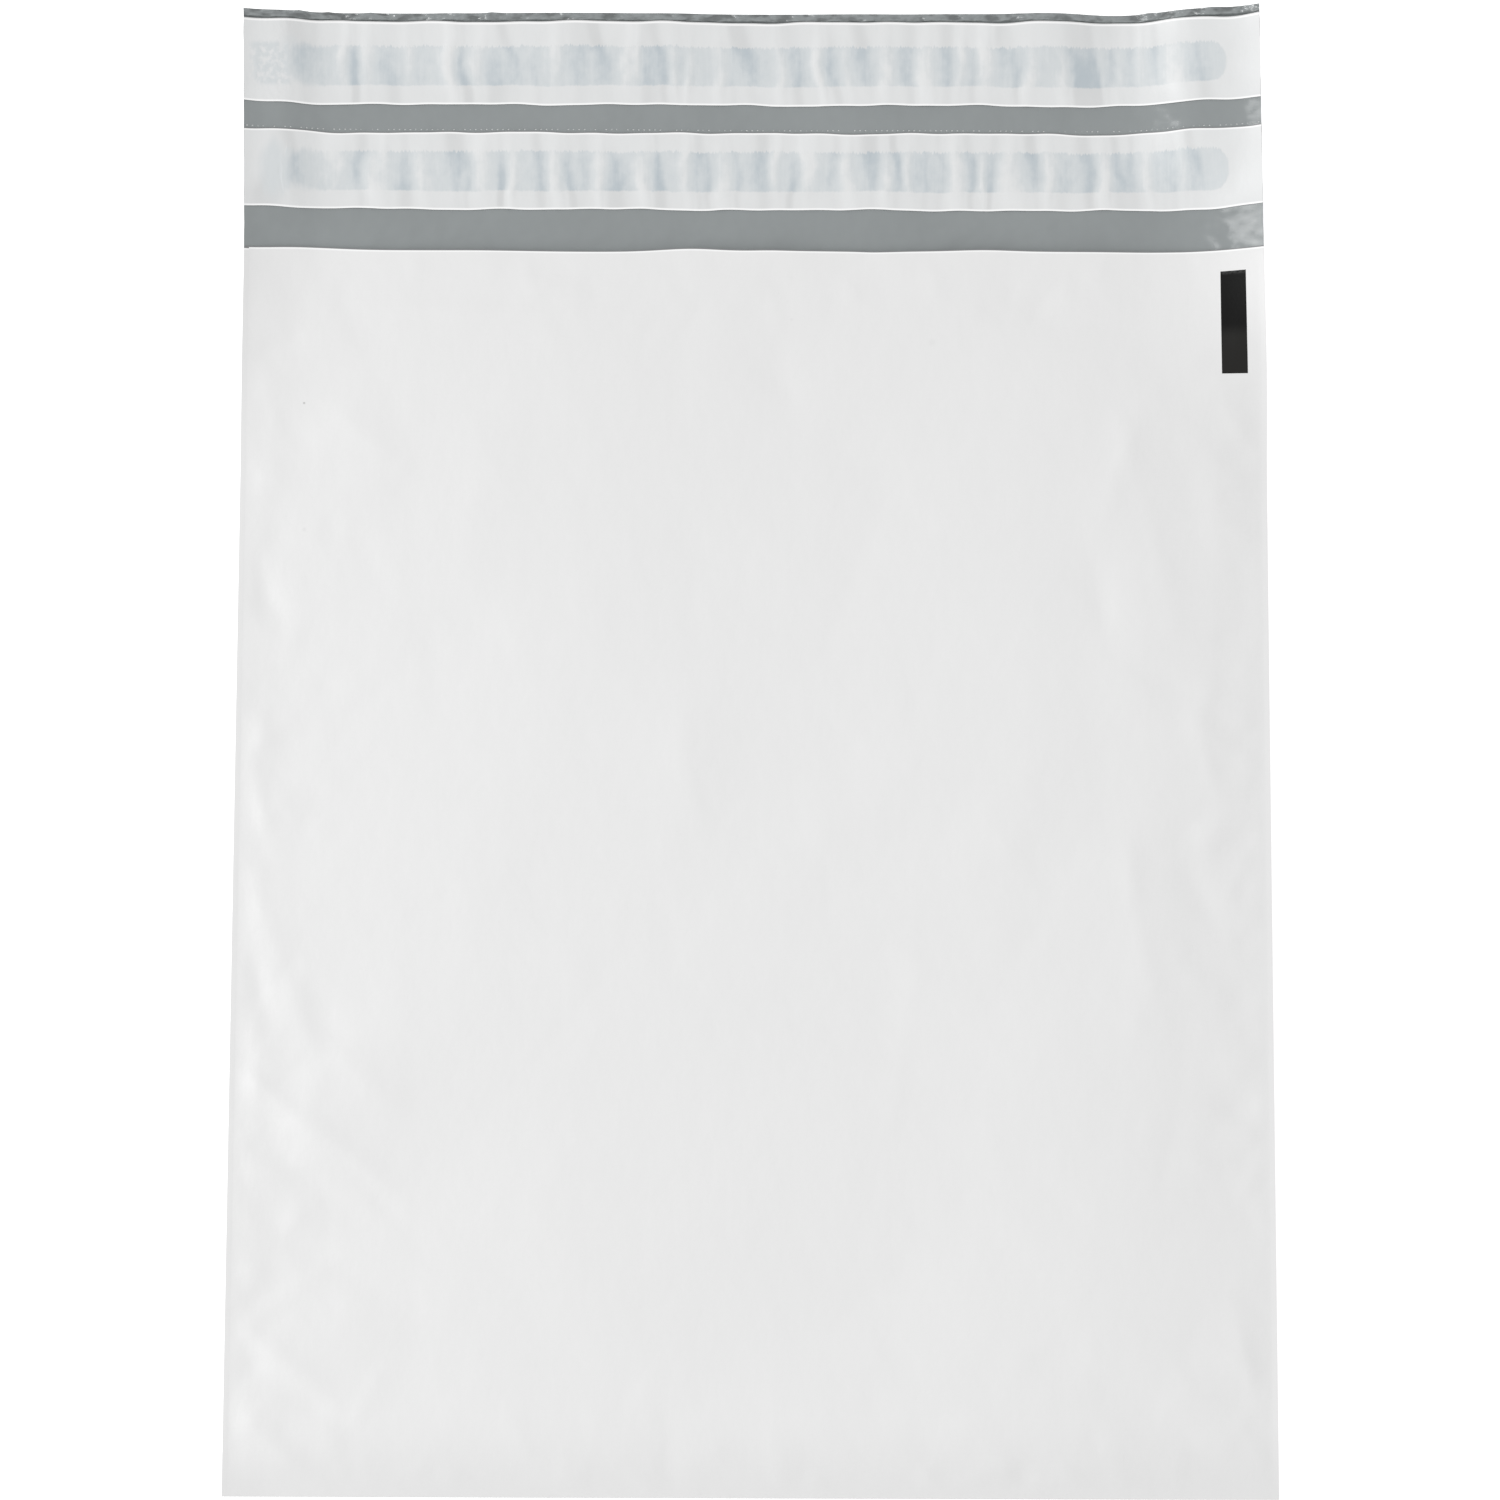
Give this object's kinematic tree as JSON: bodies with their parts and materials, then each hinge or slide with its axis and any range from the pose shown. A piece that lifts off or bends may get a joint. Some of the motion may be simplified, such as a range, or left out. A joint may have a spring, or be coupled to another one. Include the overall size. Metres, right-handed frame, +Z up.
{
  "type": "poly mailer bag",
  "caption": "Empty returnable film mailer lying flat with its flap open, adhesive strips under gathered release liners and a plain black printed mark.",
  "frame": {"origin": "middle of the bag's length and width, on the surface that it lies on", "axes": "+Y from the bottom fold towards the mouth and the flap's free edge, +Z up from the surface through the front panel, +X to the side with the printed mark"},
  "size_m": [0.254, 0.3658, 0.0105],
  "materials": {
    "white_film": "satin",
    "adhesive": "satin",
    "release_film": "satin",
    "black_ink": "satin"
  },
  "bodies": {
    "root": {"bag_film": "white_film", "adhesive_strip_upper": "adhesive", "adhesive_strip_lower": "adhesive", "release_liner_upper": "release_film", "release_liner_lower": "release_film", "registration_mark": "black_ink"}
  },
  "joints": []
}
